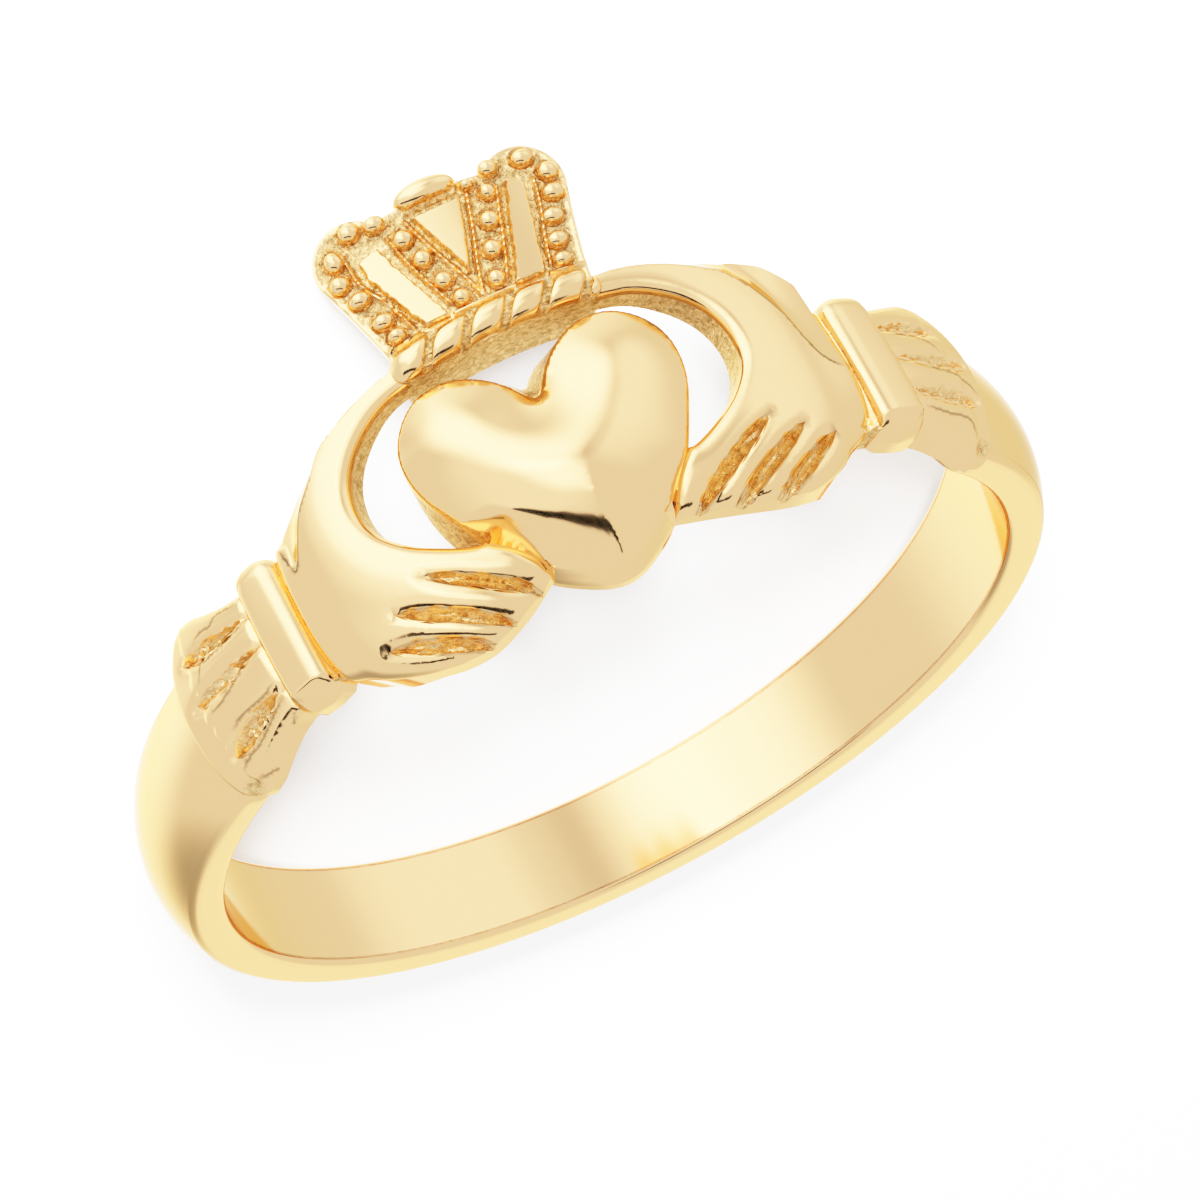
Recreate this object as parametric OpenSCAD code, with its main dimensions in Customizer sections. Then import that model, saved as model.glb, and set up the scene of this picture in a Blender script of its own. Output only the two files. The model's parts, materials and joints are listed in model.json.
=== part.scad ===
// Claddagh ring, cast in one piece: a half-round band whose shoulders end in two cuffs,
// and two hands that hold a puffed heart under a beaded crown.
// The ring lies on its side, crown down, on the back edge of its crown and of its band.

/* [Finger hole and band] */
// Inside diameter of the ring
inner_d = 17.2; // [14:0.2:22]
// Width of the band at the back of the finger
band_back_w = 2.2; // [1.6:0.1:3]
// Width of the band where it meets the cuffs
band_front_w = 3.1; // [2.4:0.1:4]
// Thickness of the band at the back
band_t = 1.1; // [0.8:0.05:1.6]
// Extra thickness that the band gains towards the cuffs
shoulder_gain = 0.2; // [0:0.05:0.5]
// Radius of the half-round outside of the band
band_dome_r = 2.5; // [2.2:0.1:6]

/* [Hands] */
// Arc from the middle of the heart to the cuff, on the face of the head
hand_reach = 6.2; // [5:0.1:7.5]
// How far the wrists and thumbs reach towards the crown
hand_top = 2.9; // [2.6:0.1:3.6]
// How far the fingers reach the other way
hand_bottom = 2.4; // [2:0.1:3.2]
// Height of the hands over the finger hole
hand_rise = 1.9; // [1.6:0.05:2.4]
// Length of the slits between the fingers
finger_slit_l = 2.6; // [1.5:0.1:3]
// Width of the slits between the fingers
finger_slit_w = 0.34; // [0.2:0.02:0.5]
// Deepest relief inside the head, behind the heart
head_relief = 0.5; // [0.1:0.05:0.7]

/* [Heart] */
// Width over both lobes of the heart
heart_w = 5.8; // [4.6:0.1:6.4]
// Height of the heart from its lobes to its tip
heart_h = 4.7; // [3.8:0.1:5.2]
// Height of the lobes over the middle of the band
heart_top = 2.12; // [1.6:0.05:2.3]
// Height of the rim of the heart over the finger hole
heart_rim_rise = 1.5; // [1.2:0.05:1.8]
// Swell of the heart over its rim
heart_puff = 1.1; // [0.4:0.05:1.4]

/* [Crown] */
// Width of the crown at its base
crown_base_w = 4; // [3:0.1:4.6]
// Widest part of the crown
crown_w = 5.1; // [4.4:0.1:6]
// Height of the crown's two lobes over the middle of the band
crown_top = 6.1; // [5.2:0.1:7]
// Radius of the crown's two lobes
crown_lobe_r = 0.8; // [0.5:0.05:1]
// Height of the crown's ground over the finger hole
crown_rise = 1.6; // [1.3:0.05:2]
// Thickness of the crown's plate
crown_t = 0.8; // [0.5:0.05:1.1]
// How far panels and beads stand over the ground
crown_relief = 0.2; // [0.1:0.02:0.35]
// Diameter of the crown's beads
bead_d = 0.36; // [0.24:0.02:0.46]
// Thickness of the twisted rail under the crown
rope_d = 0.75; // [0.5:0.05:0.95]
// Number of twists on the rail
rope_twists = 5; // [3:1:7]

/* [Cuffs] */
// Width of the rounded bar across each wrist
bar_w = 1.1; // [0.8:0.05:1.4]
// Length of that bar
bar_l = 3.2; // [2.8:0.1:4.2]
// Height of the bar over the finger hole
bar_rise = 1.6; // [1.45:0.05:2]
// Length of the flared sleeve end behind the bar
flare_l = 2.3; // [1.8:0.1:3]
// Width of the sleeve end at the bar
flare_root_w = 2.7; // [2:0.1:3.4]
// Widest part of the sleeve end
flare_w = 3.5; // [3:0.1:4.6]
// Height of the sleeve end over the finger hole
flare_rise = 1.45; // [1.35:0.05:1.8]
// Length of the slits in the sleeve end
flare_slit_l = 1.7; // [1:0.1:2]
// Width of the slits in the sleeve end
flare_slit_w = 0.34; // [0.2:0.02:0.5]

/* [Hidden] */
gold = [0.93, 0.76, 0.42];
$fn = 64;

// Radii from the middle of the finger hole
hole_r = inner_d / 2;
face_r = hole_r + 1.8;
crown_ground_r = hole_r + crown_rise;
crown_face_r = crown_ground_r + crown_relief;
crown_back_r = crown_ground_r - crown_t;
bar_r = hole_r + bar_rise;
flare_r = hole_r + flare_rise;
core_r = hole_r - 0.4;
past = 3;
sink = 0.15;
slit_depth = 0.2;

// Angles about the finger, from the middle of the heart
hand_deg = arc_deg(hand_reach);
bar_deg = arc_deg(hand_reach + 0.75 * bar_w);
flare_deg = bar_deg + radius_deg(0.4 * bar_w + flare_l / 2, flare_r);

// Heart: each lobe is an arc, and each side is one curve down to the tip
heart_lobe_r = 0.262 * heart_w;
heart_lobe = [heart_w / 2 - heart_lobe_r, heart_top - heart_lobe_r];
heart_tip = [0, heart_top - heart_h];
heart_cleft_deg = acos(-heart_lobe.x / heart_lobe_r);
heart_side_deg = -25;
heart_side = heart_lobe + heart_lobe_r * [cos(heart_side_deg), sin(heart_side_deg)];
heart_pull = heart_side + 0.29 * heart_h * [sin(heart_side_deg), -cos(heart_side_deg)];
heart_middle = [0, heart_top - 0.42 * heart_h];
heart_rings = [0, 0.1, 0.25, 0.45, 0.7];

// Hands: share of reach, of bottom, of top and of rise, from the heart to the cuff
hand_sections = [
    [0, 0.72, 1, 0.84],
    [0.16, 0.82, 1.01, 0.86],
    [0.3, 0.93, 1.05, 0.92],
    [0.43, 0.99, 1.04, 0.97],
    [0.56, 1.01, 0.99, 1],
    [0.68, 0.96, 0.9, 0.98],
    [0.8, 0.84, 0.76, 0.92],
    [0.9, 0.7, 0.61, 0.84],
    [1, 0.6, 0.5, 0.75],
    [1.06, 0.57, 0.47, 0.7]
];
hand_edge = 0.62;
hand_arch_steps = 9;

// Opening between hand and heart: shares of the hand's reach and of the heart's height
window = [
    [0.36, 0.52],
    [0.46, 0.49],
    [0.56, 0.39],
    [0.62, 0.25],
    [0.64, 0.1],
    [0.6, -0.03],
    [0.52, -0.13],
    [0.43, -0.2],
    [0.34, -0.24],
    [0.26, -0.1],
    [0.26, 0.3]
];

// Slits between the fingers: shares of the reach and of the bottom for the middle, and the slope
finger_slits = [
    [0.42, -0.6, 33],
    [0.53, -0.74, 35],
    [0.64, -0.86, 37]
];
flare_slit_fan = [-15, 0, 15];

// Crown: the beads' rows go up from the rail, and the tilted rows fan out with the sides
crown_base = hand_top + rope_d / 3;
crown_h = crown_top - crown_base;
crown_lobe = [crown_w / 2 - crown_lobe_r, crown_top - crown_lobe_r];
crown_dip = crown_base + 0.88 * crown_h;
bead_rows = [
    [0.14, 0.36, 0.14, 0.72, 4],
    [0.72, 0.84, 0.12, 0.62, 4]
];
lobe_beads = [-50, 10, 70];
panel = [
    [0.4, 0.14],
    [0.62, 0.14],
    [0.68, 0.72],
    [0.54, 0.72]
];
keystone = [
    [0, 0.26],
    [0.2, 0.78],
    [-0.2, 0.78]
];
rope_z = hand_top - rope_d / 6;
rope_r = crown_face_r - rope_d / 2 + 0.1;
rope_span = 2 * radius_deg(0.49 * crown_base_w, crown_face_r);

// Resting pose: the floor touches the backs of the crown's lobes and the back edge of the band
band_outer_r = hole_r + band_t;
back_half = band_back_w / 2;
back_corner_r = band_outer_r - band_dome_r + sqrt(pow(band_dome_r, 2) - pow(back_half, 2));
lobe_back_y = sqrt(pow(crown_back_r, 2) - pow(crown_lobe.x, 2));
lean = atan((crown_top - back_half) / (back_corner_r + lobe_back_y));
lift = back_corner_r * sin(lean) + back_half * cos(lean);
front_reach = crown_face_r * cos(lean) + crown_top * sin(lean);
back_reach = (band_outer_r - band_dome_r) * cos(lean) + band_dome_r;

function radius_deg(arc, r) = arc / r * 180 / PI;
function arc_deg(arc) = radius_deg(arc, face_r);

// A point at an arc from the middle of the heart, a height along the finger and a radius
function on_ring(arc, z, r) = [r * sin(arc_deg(arc)), -r * cos(arc_deg(arc)), z];

function flip(points) = [for (p = points) [-p.x, p.y]];
function backwards(list) = [for (i = [len(list) - 1:-1:0]) list[i]];

// Smooth closed curve through the points of a short table
function spline(a, b, c, d, t) =
    0.5 * (2 * b + (c - a) * t + (2 * a - 5 * b + 4 * c - d) * t * t + (3 * b - a - 3 * c + d) * pow(t, 3));
function smooth_loop(p, steps) = [
    for (i = [0:len(p) - 1], k = [0:steps - 1])
        spline(p[(i + len(p) - 1) % len(p)], p[i], p[(i + 1) % len(p)], p[(i + 2) % len(p)], k / steps)
];

function curve(a, b, c, t) = (1 - t) * (1 - t) * a + 2 * t * (1 - t) * b + t * t * c;

// Right half of the heart from the cleft to just before the tip
function heart_half() = concat(
    [
        for (k = [0:13])
            let (turn = heart_cleft_deg + (heart_side_deg - heart_cleft_deg) * k / 13)
            heart_lobe + heart_lobe_r * [cos(turn), sin(turn)]
    ],
    [for (k = [1:7]) curve(heart_side, heart_pull, heart_tip, k / 8)]
);
function heart_outline() =
    let (half = heart_half())
    concat(half, [heart_tip], backwards(flip([for (i = [1:len(half) - 1]) half[i]])));

// Swell of the heart at a point, from 0 on its rim to 1 on its crest
function heart_swell(p, share) =
    let (
        dome = sqrt(1 - pow(1 - share, 2)),
        upper = max(0, min(1, (p.y - heart_tip.y) / heart_h - 0.2)),
        valley = 0.35 * upper * exp(-pow(p.x / (0.16 * heart_w), 2)),
        taper = min(1, 0.45 + 0.9 * (p.y - heart_tip.y) / heart_h)
    )
    dome * taper * (1 - valley);

// Height of the hands' arch over the finger hole at a share of the way from bottom to top
function arch(share) = hand_edge + (1 - hand_edge) * sqrt(max(0, 1 - pow(abs(2 * share - 1), 2.4)));

// One closed cross-section of the hands
function hand_section(row, side) =
    let (
        arc = side * row[0] * hand_reach,
        low = -row[1] * hand_bottom,
        high = row[2] * hand_top,
        rise = row[3] * hand_rise
    )
    concat(
        [on_ring(arc, high, core_r), on_ring(arc, low, core_r)],
        [
            for (k = [0:hand_arch_steps])
                let (share = k / hand_arch_steps)
                on_ring(arc, low + (high - low) * share, hole_r + rise * arch(share))
        ]
    );

// Closed skin over sections that have the same number of points
module loft(sections) {
    m = len(sections[0]);
    n = len(sections);
    sides = [
        for (i = [0:n - 2], j = [0:m - 1])
            let (a = i * m + j, b = i * m + (j + 1) % m)
            each [[a, b, b + m], [a, b + m, a + m]]
    ];
    first = [for (j = [1:m - 2]) [0, j + 1, j]];
    last = [for (j = [1:m - 2]) [(n - 1) * m, (n - 1) * m + j, (n - 1) * m + j + 1]];
    polyhedron([for (s = sections) each s], concat(sides, first, last), convexity = 4);
}

// Puts a shape on the ring at an angle, a height and a radius, with its own Y going inwards
module on_face(deg, z, r) rotate([0, 0, deg]) translate([0, -r, z]) children();

// Outline drawn on the front, cut through the ring's front and kept between two radii
module plate(inner, outer) {
    intersection() {
        rotate([90, 0, 0]) linear_extrude(outer + past) children();
        difference() {
            cylinder(r = outer, h = 4 * crown_top, center = true, $fn = 128);
            cylinder(r = inner, h = 5 * crown_top, center = true, $fn = 128);
        }
    }
}

// Slit with pointed ends, lying along X and cut to a depth under the surface
module slit(length, width, depth) {
    half = [for (k = [-3:3]) [length / 2 * k / 3, width / 2 * (1 - k * k / 9)]];
    edge = [for (k = [2:-1:-2]) [length / 2 * k / 3, -width / 2 * (1 - k * k / 9)]];
    translate([0, depth, 0]) rotate([90, 0, 0]) linear_extrude(depth + past) polygon(concat(half, edge));
}

module band() {
    color(gold) intersection() {
        translate([0, -shoulder_gain / 2, 0]) rotate_extrude($fn = 128) intersection() {
            translate([band_outer_r + shoulder_gain / 2 - band_dome_r, 0]) circle(r = band_dome_r, $fn = 96);
            translate([core_r - shoulder_gain, -band_front_w]) square([2 * band_t + past, 2 * band_front_w]);
        }
        rotate([90, 0, 90]) linear_extrude(4 * hole_r, center = true) polygon([
            [-hole_r, -band_front_w / 2],
            [back_corner_r, -back_half],
            [band_outer_r + past, -back_half],
            [band_outer_r + past, back_half],
            [back_corner_r, back_half],
            [-hole_r, band_front_w / 2]
        ]);
        difference() {
            cylinder(r = 2 * hole_r, h = 2 * band_front_w, center = true);
            linear_extrude(3 * band_front_w, center = true) polygon([
                [0, 0],
                3 * hole_r * [-sin(hand_deg - 3), -cos(hand_deg - 3)],
                3 * hole_r * [sin(hand_deg - 3), -cos(hand_deg - 3)]
            ]);
        }
    }
}

module cuff_bar() {
    half = (bar_l - bar_w) / 2;
    color(gold) on_face(bar_deg, 0, bar_r - bar_w / 2) {
        cylinder(d = bar_w, h = 2 * half, center = true, $fn = 48);
        for (end = [-half, half]) translate([0, 0, end]) sphere(d = bar_w, $fn = 48);
        rotate([-90, 0, 0]) linear_extrude(bar_rise - bar_w / 2 + 0.3) {
            square([bar_w, 2 * half], center = true);
            for (end = [-half, half]) translate([0, end]) circle(d = bar_w, $fn = 48);
        }
    }
}

module flare() {
    end = flare_l / 2;
    color(gold) rotate([0, 0, flare_deg]) difference() {
        plate(core_r, flare_r) intersection() {
            polygon([
                [-end, -flare_root_w / 2],
                [0.5 * end, -flare_w / 2],
                [end, -0.42 * flare_w],
                [end, 0.42 * flare_w],
                [0.5 * end, flare_w / 2],
                [-end, flare_root_w / 2]
            ]);
            translate([end - flare_w, 0]) circle(r = flare_w, $fn = 96);
        }
        for (turn = flare_slit_fan)
            translate([0, -flare_r, 0]) translate([-end, 0, 0]) rotate([0, turn, 0])
                translate([end + 0.12 * flare_l, 0, 0]) slit(flare_slit_l, flare_slit_w, slit_depth);
    }
}

module hands() {
    rows = len(hand_sections);
    whole = concat(
        [for (i = [rows - 1:-1:1]) hand_section(hand_sections[i], -1)],
        [for (i = [0:rows - 1]) hand_section(hand_sections[i], 1)]
    );
    color(gold) difference() {
        loft(whole);
        for (side = [0, 1]) mirror([side, 0, 0]) {
            hand_window();
            finger_slits_cut();
        }
        cleft_window();
    }
}

module hand_window() {
    rotate([90, 0, 0]) linear_extrude(face_r + past)
        polygon(smooth_loop([for (p = window) [face_r * sin(arc_deg(p.x * hand_reach)), p.y * heart_h]], 4));
}

// Opening over the cleft of the heart, under the twisted rail
module cleft_window() {
    top = rope_z - rope_d / 2;
    rotate([90, 0, 0]) linear_extrude(face_r + past) polygon([
        [-0.25 * heart_w, top],
        [0.25 * heart_w, top],
        [0.3 * heart_w, heart_top - 0.1 * heart_h],
        [0, heart_top - 0.5 * heart_h],
        [-0.3 * heart_w, heart_top - 0.1 * heart_h]
    ]);
}

module finger_slits_cut() {
    for (row = finger_slits)
        on_face(arc_deg(row[0] * hand_reach), row[1] * hand_bottom, hole_r + 0.9 * hand_rise)
            rotate([0, -row[2], 0]) slit(finger_slit_l, finger_slit_w, slit_depth);
}

module heart() {
    rim = heart_outline();
    n = len(rim);
    rings = concat(
        [[for (p = rim) on_ring(p.x, p.y, core_r)]],
        [
            for (share = heart_rings)
                [
                    for (q = rim)
                        let (p = q + (heart_middle - q) * share)
                        on_ring(p.x, p.y, hole_r + heart_rim_rise + heart_puff * heart_swell(p, share))
                ]
        ]
    );
    crest = hole_r + heart_rim_rise + heart_puff * heart_swell(heart_middle, 1);
    points = concat(
        [for (ring = rings) each ring],
        [on_ring(heart_middle.x, heart_middle.y, core_r), on_ring(heart_middle.x, heart_middle.y, crest)]
    );
    under = len(points) - 2;
    top = (len(rings) - 1) * n;
    skin = [
        for (i = [0:len(rings) - 2], j = [0:n - 1])
            let (a = i * n + j, b = i * n + (j + 1) % n)
            each [[a, b, b + n], [a, b + n, a + n]]
    ];
    caps = [
        for (j = [0:n - 1])
            each [[j, under, (j + 1) % n], [top + j, top + (j + 1) % n, under + 1]]
    ];
    color(gold) polyhedron(points, concat(skin, caps), convexity = 4);
}

module crown_outline() {
    polygon([
        [-crown_base_w / 2, crown_base - rope_d / 2],
        [crown_base_w / 2, crown_base - rope_d / 2],
        [crown_w / 2 - 0.02, crown_lobe.y],
        [crown_lobe.x, crown_dip],
        [-crown_lobe.x, crown_dip],
        [-crown_w / 2 + 0.02, crown_lobe.y]
    ]);
    for (side = [-1, 1]) translate([side * crown_lobe.x, crown_lobe.y]) circle(r = crown_lobe_r);
}

// A place on the crown: share of half its width and share of its height over the rail
function on_crown(p) = [p.x * crown_w / 2, crown_base + p.y * crown_h];

module crown_bead(place) {
    reach = sqrt(pow(crown_ground_r, 2) - pow(place.x, 2)) - 0.1 * bead_d;
    translate([place.x, -reach, place.y]) rotate([0, 0, 90]) sphere(d = bead_d, $fn = 24);
}

module crown() {
    color(gold) {
        plate(crown_back_r, crown_ground_r) crown_outline();
        plate(crown_ground_r - sink, crown_face_r) {
            polygon([for (p = keystone) on_crown(p)]);
            for (side = [-1, 1]) polygon([for (p = panel) on_crown([side * p.x, p.y])]);
        }
        for (side = [-1, 1]) {
            for (row = bead_rows, k = [0:row[4] - 1])
                let (share = k / (row[4] - 1))
                crown_bead(on_crown([
                    side * (row[0] + (row[1] - row[0]) * share),
                    row[2] + (row[3] - row[2]) * share
                ]));
            for (turn = lobe_beads)
                crown_bead([
                    side * (crown_lobe.x + (crown_lobe_r - 0.6 * bead_d) * sin(turn - 25)),
                    crown_lobe.y + (crown_lobe_r - 0.6 * bead_d) * cos(turn - 25)
                ]);
        }
        crown_cap();
    }
}

// Smooth oval drop between the lobes
module crown_cap() {
    cap_d = 0.5 * crown_lobe_r + 0.1;
    translate([0, -crown_ground_r, crown_top - 0.6 * cap_d]) {
        rotate([0, 90, 0]) cylinder(d = cap_d, h = crown_lobe_r, center = true, $fn = 24);
        for (end = [-1, 1]) translate([end * crown_lobe_r / 2, 0, 0]) sphere(d = cap_d, $fn = 24);
    }
}

// Twisted rail: a round rod bent round the finger, with slanting grooves
module rope() {
    color(gold) difference() {
        rotate([0, 0, -90 - rope_span / 2]) rotate_extrude(angle = rope_span, $fn = 128)
            translate([rope_r, rope_z]) circle(d = rope_d, $fn = 32);
        for (k = [0:rope_twists - 1])
            rotate([0, 0, rope_span * ((k + 0.5) / rope_twists - 0.5)])
                translate([0, -rope_r - 0.55 * rope_d, rope_z]) rotate([0, 30, 0])
                    cylinder(d = 0.3 * rope_d, h = 3 * rope_d, center = true, $fn = 24);
    }
}

// Finger hole, with the shallow hollow behind the heart
module hollow() {
    edge = [hole_r * sin(hand_deg), hole_r * cos(hand_deg)];
    deep = hole_r + head_relief;
    shift = (deep * deep - hole_r * hole_r) / (2 * (deep - edge.y));
    cylinder(r = hole_r, h = 5 * crown_top, center = true, $fn = 128);
    translate([0, -shift, 0]) cylinder(r = deep - shift, h = 5 * crown_top, center = true, $fn = 128);
}

module ring_upright() {
    difference() {
        union() {
            band();
            hands();
            heart();
            crown();
            rope();
            for (side = [0, 1]) mirror([side, 0, 0]) {
                cuff_bar();
                flare();
            }
        }
        hollow();
    }
}

module ring() {
    color(gold) translate([0, (front_reach - back_reach) / 2, lift])
        rotate([0, 0, 180]) rotate([180 + lean, 0, 0]) ring_upright();
}

ring();
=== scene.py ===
import json
import math

import bmesh
import bpy
import numpy as np
from mathutils import Matrix, Vector, geometry


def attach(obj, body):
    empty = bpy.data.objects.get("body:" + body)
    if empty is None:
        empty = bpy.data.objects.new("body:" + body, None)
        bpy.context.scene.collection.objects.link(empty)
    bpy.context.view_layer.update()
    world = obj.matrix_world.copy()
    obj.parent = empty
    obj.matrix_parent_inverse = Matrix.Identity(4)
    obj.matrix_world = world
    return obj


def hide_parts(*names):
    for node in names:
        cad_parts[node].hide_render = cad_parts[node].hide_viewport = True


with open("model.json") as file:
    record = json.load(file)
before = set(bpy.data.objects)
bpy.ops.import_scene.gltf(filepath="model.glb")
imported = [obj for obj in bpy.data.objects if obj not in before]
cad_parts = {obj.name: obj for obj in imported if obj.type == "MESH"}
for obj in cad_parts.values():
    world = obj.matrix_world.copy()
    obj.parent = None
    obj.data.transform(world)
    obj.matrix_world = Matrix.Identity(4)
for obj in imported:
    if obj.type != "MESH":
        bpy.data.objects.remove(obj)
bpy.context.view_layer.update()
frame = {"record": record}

# The ring is modelled in its own frame, in millimetres: X to the right cuff, Y along the finger
# to the crown, Z out of the head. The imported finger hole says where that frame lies.
# A piece of the head is drawn flat: u runs round the circle of radius faceR, v along the finger,
# and its heights are distances from the middle line of the hole.
ring = {
    "holeR": 8.6, "faceR": 10.4, "backHalf": 1.1, "frontHalf": 1.55, "bandT": 1.1, "domeR": 2.5,
    # the shallow hollow behind the head: its depth, the u where it starts to fade, and the fade
    "hollow": 0.75, "hollowU": 4.1, "hollowFade": 1.6,
}
hole = next(m for m in frame["record"]["mounts"] if m["name"] == "finger_hole")
along = Vector(hole["axis"])
ringFrame = Matrix.Translation(Vector(hole["pos_m"])) @ Matrix((
    (-1, 0, 0, 0),
    (0, -along.y, -along.z, 0),
    (0, -along.z, along.y, 0),
    (0, 0, 0, 1),
)) @ Matrix.Scale(0.001, 4)
sides = (("Left", -1), ("Right", 1))
print("ring frame found")


# curves

# smooth curve through the points, with even steps
def smoothCurve(points, step=0.05):
    p = np.array(points, float)
    q = np.vstack([2 * p[0] - p[1], p, 2 * p[-1] - p[-2]])
    fine = []
    for a, b, c, d in zip(q, q[1:], q[2:], q[3:]):
        for t in np.linspace(0, 1, 16, endpoint=False):
            squared = (2 * a - 5 * b + 4 * c - d) * t * t
            cubed = (3 * b - a - 3 * c + d) * t ** 3
            fine.append(0.5 * (2 * b + (c - a) * t + squared + cubed))
    fine = np.array([*fine, p[-1]])
    run = np.r_[0, np.cumsum(np.hypot(*np.diff(fine, axis=0).T))]
    at = np.linspace(0, run[-1], max(2, int(round(run[-1] / step)) + 1))
    return np.c_[np.interp(at, run, fine[:, 0]), np.interp(at, run, fine[:, 1])]


# heights of a smooth curve, given as (place, height) rows
def table(rows, at):
    fine = smoothCurve(rows)
    return np.interp(at, fine[:, 0], fine[:, 1])


# closed loop of smooth curves that meet in corners
def cornered(parts, step):
    return np.vstack([smoothCurve(part, step)[:-1] for part in parts])


# 0 to 1 with a soft start and end
def eased(share):
    x = np.clip(share, 0, 1)
    return x * x * (3 - 2 * x)


# how far a surface falls at a distance from its edge, for an edge rounded to radius r
def rounding(d, r):
    x = np.clip(d, 0, r)
    return r - np.sqrt(np.maximum(r * r - (r - x) ** 2, 0))


# smooth noise from -1 to 1, from turned sine waves
def grain(u, v, size, seed):
    total = np.zeros(np.shape(u))
    for k in range(5):
        turn = seed * 1.7 + k * 2.4
        wave = (u * math.cos(turn) + v * math.sin(turn)) * 6.283 / size
        total += np.sin(wave * (1 + 0.23 * k) + 5.1 * seed + k * k)
    return total / 3


# the same value everywhere
def held(value):
    def same(u, v):
        return value + 0 * u
    return same


def inside(loop, p):
    x, y = p[:, 0][:, None], p[:, 1][:, None]
    a, b = loop, np.roll(loop, -1, axis=0)
    crossed = (a[:, 1] > y) != (b[:, 1] > y)
    with np.errstate(divide="ignore", invalid="ignore"):
        at = (b[:, 0] - a[:, 0]) * (y - a[:, 1]) / (b[:, 1] - a[:, 1]) + a[:, 0]
    return (np.sum(crossed & (x < at), axis=1) % 2) == 1


# distance of each point from a loop or an open line, a few thousand points at a time
def distance(line, p, closed=True):
    a = line if closed else line[:-1]
    b = np.roll(line, -1, axis=0) if closed else line[1:]
    way = b - a
    size = np.maximum((way ** 2).sum(1), 1e-12)
    best = np.empty(len(p))
    for i in range(0, len(p), 4000):
        q = p[i:i + 4000, None, :] - a[None]
        t = np.clip((q * way).sum(2) / size, 0, 1)
        off = q - t[..., None] * way
        best[i:i + 4000] = np.sqrt((off ** 2).sum(2)).min(1)
    return best


def normals(loop):
    ahead = np.roll(loop, -1, axis=0) - np.roll(loop, 1, axis=0)
    return np.c_[-ahead[:, 1], ahead[:, 0]] / np.maximum(np.hypot(*ahead.T), 1e-9)[:, None]


# sheets and solids

# drops points that crowd an earlier one
def thinned(p, gap):
    kept, cells = [], {}
    for i, (x, y) in enumerate(p):
        cx, cy = math.floor(x / gap), math.floor(y / gap)
        near = False
        for cell in [(cx + dx, cy + dy) for dx in (-1, 0, 1) for dy in (-1, 0, 1)]:
            for j in cells.get(cell, ()):
                near = near or (p[j][0] - x) ** 2 + (p[j][1] - y) ** 2 < gap * gap
        if not near:
            cells.setdefault((cx, cy), []).append(i)
            kept.append(i)
    return p[kept]


# even triangles of one size inside an outline; rows of points follow the outline and the marks at
# the distances in rims, and the edges of the triangles keep to the outline, marks and lines
def flatSheet(outline, step, rims, marks=(), lines=()):
    loops = [outline, *marks]
    rows = []
    for loop in loops:
        for side in (-1, 1):
            for rim in rims:
                row = loop + side * rim * normals(loop)
                rows.append(row[distance(loop, row) > 0.9 * rim])
    low, high = outline.min(0), outline.max(0)
    across = np.arange(low[0], high[0], step)
    upward = np.arange(low[1], high[1], step * 0.866)
    grid = np.array([(x + 0.5 * step * (j % 2), y) for j, y in enumerate(upward) for x in across])
    keep = np.ones(len(grid), bool)
    for loop in loops:
        keep &= distance(loop, grid) > rims[-1] + 0.5 * step
    for line in lines:
        keep &= distance(line, grid, closed=False) > 0.5 * step
    free = np.vstack([*rows, grid[keep]])
    keep = inside(outline, free)
    for loop in loops:
        keep &= distance(loop, free) > 0.4 * rims[0]
    free = thinned(free[keep], 0.55 * rims[0])
    verts, edges = [], []
    for k, run in enumerate([*loops, *lines]):
        start, n = len(verts), len(run)
        verts += [Vector(p) for p in run]
        joined = n if k < len(loops) else n - 1
        edges += [(start + i, start + (i + 1) % n) for i in range(joined)]
    verts += [Vector(p) for p in free]
    made = geometry.delaunay_2d_cdt(verts, edges, [], 0, 1e-6)
    p = np.array([tuple(v) for v in made[0]])
    tri = np.array(made[2])
    a, b, c = (p[tri[:, i]] for i in range(3))
    area = np.abs((b - a)[:, 0] * (c - a)[:, 1] - (b - a)[:, 1] * (c - a)[:, 0])
    return p, tri[inside(outline, p[tri].mean(1)) & (area > 1e-8)]


# a sheet drawn for the right side, on its own side
def sided(p, tri, side):
    return p * (side, 1), tri if side > 0 else tri[:, ::-1]


# thin lines of painted shade along creases: 1 on the points of a line, fading at both ends
def creaseShade(p, lines, wide=0.012):
    paintedShadeAndSpots = np.zeros(len(p))
    for line in lines:
        gap = distance(line, p, closed=False)
        ends = np.minimum(np.hypot(*(p - line[0]).T), np.hypot(*(p - line[-1]).T))
        paintedShadeAndSpots = np.maximum(paintedShadeAndSpots, np.clip(1 - gap / wide, 0, 1) * np.clip(0.25 + ends / 0.3, 0, 1))
    return paintedShadeAndSpots


# heights drawn towards the mean of their neighbours, each by its own share
def evened(height, tri, share, rounds):
    i = np.concatenate([tri[:, k] for k in (0, 1, 2, 1, 2, 0)])
    j = np.concatenate([tri[:, k] for k in (1, 2, 0, 0, 1, 2)])
    count = np.maximum(np.bincount(i, minlength=len(height)), 1)
    for _ in range(rounds):
        mean = np.bincount(i, height[j], len(height)) / count
        height = height + 0.6 * share * (mean - height)
    return height


def wrapped(u, v, h):
    turn = u / ring["faceR"]
    return np.c_[h * np.sin(turn), v, h * np.cos(turn)]


# inside of the ring: the finger hole, with a shallow hollow behind the head
def backRadius(u):
    return ring["holeR"] + ring["hollow"] * (1 - eased((np.abs(u) - ring["hollowU"]) / ring["hollowFade"]))


# rows of points in a wall, as shares of its height
wallRows = (0, 0.45, 0.8, 0.95, 1)


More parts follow.
